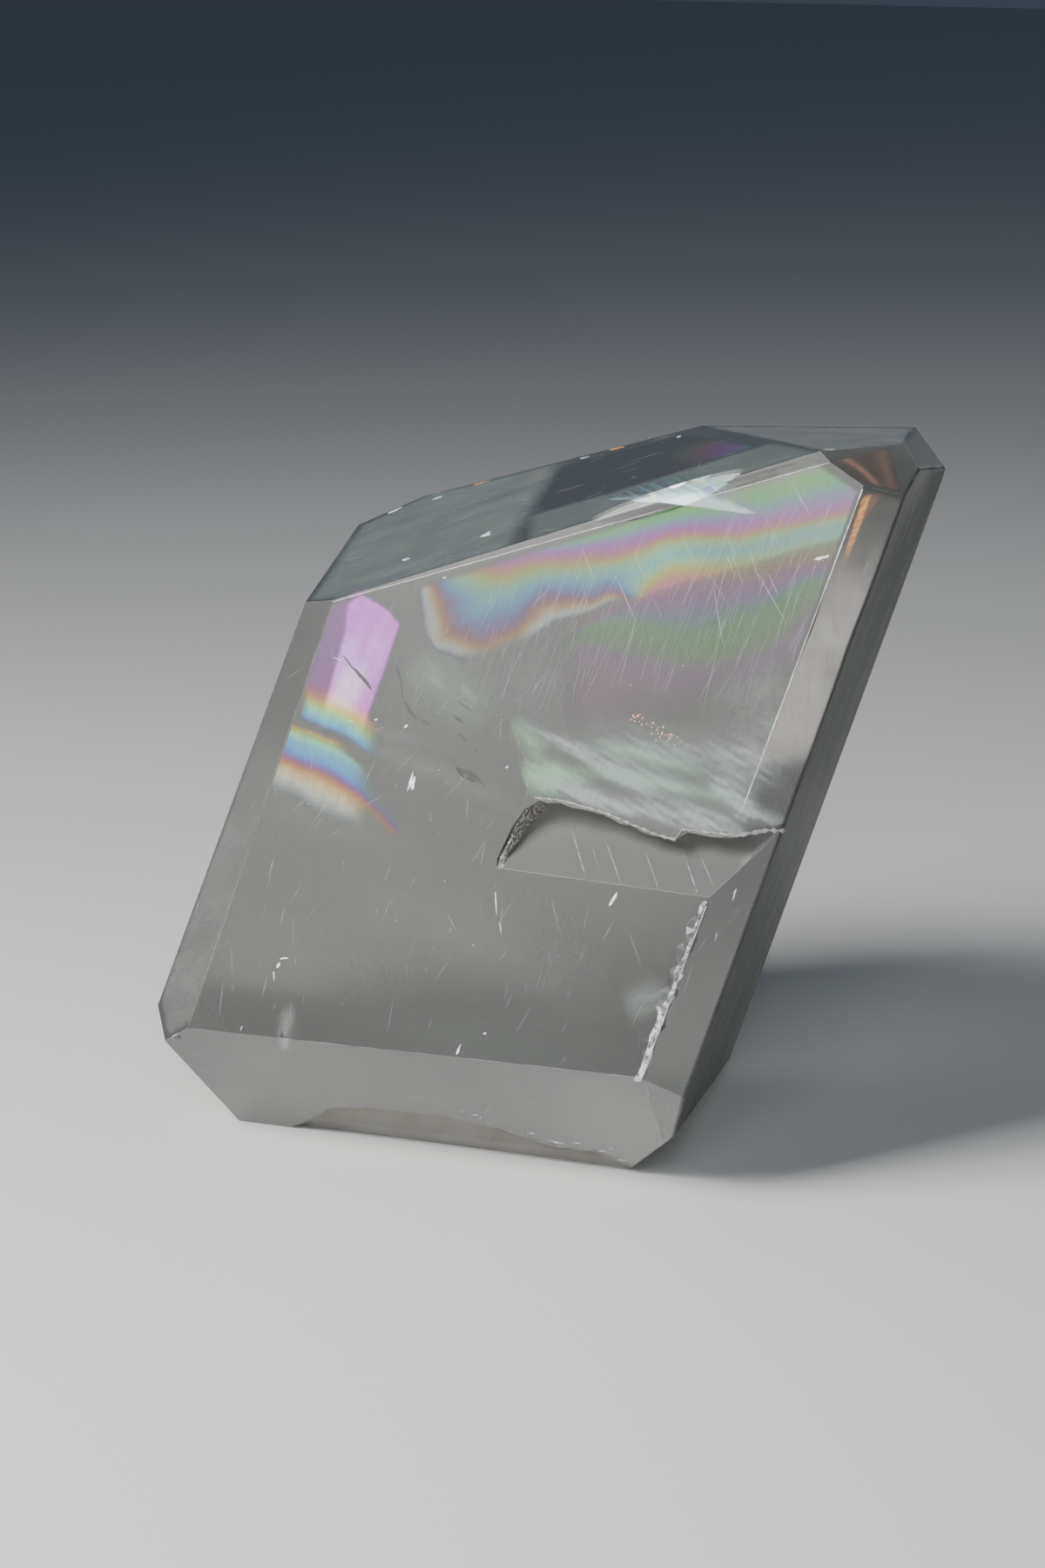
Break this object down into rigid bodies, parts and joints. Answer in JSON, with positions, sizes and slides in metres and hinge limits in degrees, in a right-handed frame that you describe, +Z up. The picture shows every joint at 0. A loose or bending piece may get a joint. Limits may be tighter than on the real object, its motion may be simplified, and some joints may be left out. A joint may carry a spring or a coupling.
{
  "type": "calcite freeform",
  "caption": "Polished block of clear calcite standing on a flat base: a leaning rhomb with a slanted top, bevelled edges, a stepped ledge in its front face and small chips",
  "frame": {"origin": "on the ground under the middle of the flat base facet that the stone rests on", "axes": "+Z up, -Y towards the side that the broad front face looks to, +X towards the side that the stone leans to"},
  "size_m": [0.1206, 0.0836, 0.1008],
  "materials": {
    "calcite": "polished flat facets, see-through, with rough breaks"
  },
  "bodies": {
    "root": {"calcite_freeform": "calcite"}
  },
  "joints": []
}
